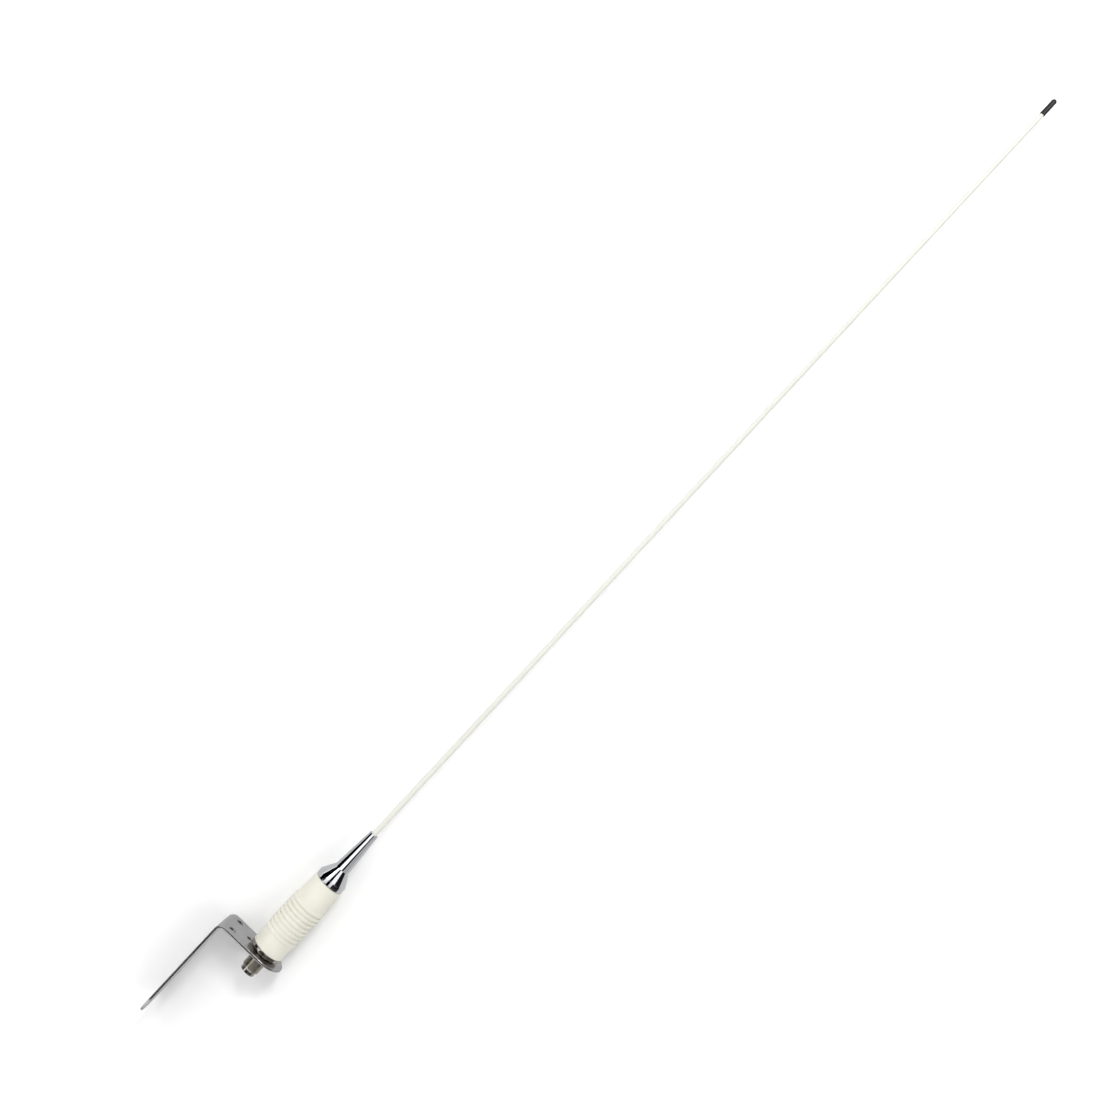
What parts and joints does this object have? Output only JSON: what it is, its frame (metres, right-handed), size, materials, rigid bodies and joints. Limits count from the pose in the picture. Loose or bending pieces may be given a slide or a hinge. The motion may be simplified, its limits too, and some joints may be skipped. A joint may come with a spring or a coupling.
{
  "type": "omnidirectional whip antenna",
  "caption": "White whip antenna with a black tip, chrome ferrule and ribbed cream base, on a stainless L bracket with a threaded coax socket.",
  "frame": {"origin": "middle of the outer face of the bracket's long leg, the face that lies against a mast, wall or rail", "axes": "+Z along the antenna towards its tip, -X the outward normal of the bracket's long leg, +X from that leg towards the antenna"},
  "size_m": [0.0645, 0.041, 1.0859],
  "materials": {
    "stainless": "fine satin, rolled grain, rounded edges",
    "nickel": "bright nickel plate, slightly warm",
    "chrome": "mirror",
    "brass": "machined",
    "copper": "enamelled copper wire",
    "spring_steel": "drawn steel",
    "cream_plastic": "semi-gloss moulded",
    "white_sheath": "semi-gloss extruded",
    "white_dielectric": "matt",
    "former_plastic": "matt",
    "black_plastic": "glossy",
    "black_rubber": "matt",
    "ceramic": "dipped ceramic disc",
    "green_sleeve": "sleeved wire"
  },
  "bodies": {
    "bracket": {"mounting_bracket": "stainless"},
    "antenna": {"connector_shell": "nickel", "connector_insulator": "white_dielectric", "center_contact": "brass", "retaining_nut": "nickel", "ground_lug": "brass", "base_collar": "nickel", "collar_o_ring": "black_rubber", "base_housing": "cream_plastic", "coil_former": "former_plastic", "coil_winding": "copper", "feed_lead": "green_sleeve", "ground_lead": "copper", "matching_capacitor": "ceramic", "top_lead": "copper", "top_solder_tag": "brass", "stud_nut": "nickel", "top_insert": "brass", "top_stud": "spring_steel"},
    "lock_washer": {"lock_washer": "stainless"},
    "mounting_nut": {"mounting_nut": "nickel"},
    "gasket": {"ferrule_gasket": "black_rubber"},
    "whip": {"ferrule": "chrome", "whip_sleeve": "brass", "whip_core": "spring_steel", "whip_sheath": "white_sheath", "tip_cap": "black_plastic"}
  },
  "joints": [
    {"name": "antenna_swivel", "type": "hinge", "parent": "bracket", "child": "antenna", "pos_m": [0.044, 0, 0.052], "axis": [0, 0, 1], "continuous": true},
    {"name": "nut_travel", "type": "slide", "parent": "antenna", "child": "lock_washer", "axis": [0, 0, -1], "range_m": [0, 0.0138]},
    {"name": "nut_spin", "type": "hinge", "parent": "lock_washer", "child": "mounting_nut", "pos_m": [0.044, 0, 0.0478], "axis": [0, 0, -1], "range_deg": [0, 4700]},
    {"name": "whip_lift", "type": "slide", "parent": "antenna", "child": "gasket", "axis": [0, 0, 1], "range_m": [0, 0.01]},
    {"name": "whip_spin", "type": "hinge", "parent": "gasket", "child": "whip", "pos_m": [0.044, 0, 0.133], "axis": [0, 0, 1], "range_deg": [0, 3605]}
  ],
  "couplings": [
    {"joint": "nut_spin", "follows": "nut_travel", "rad_per_m": 5936.9},
    {"joint": "whip_spin", "follows": "whip_lift", "rad_per_m": 6283.2}
  ]
}
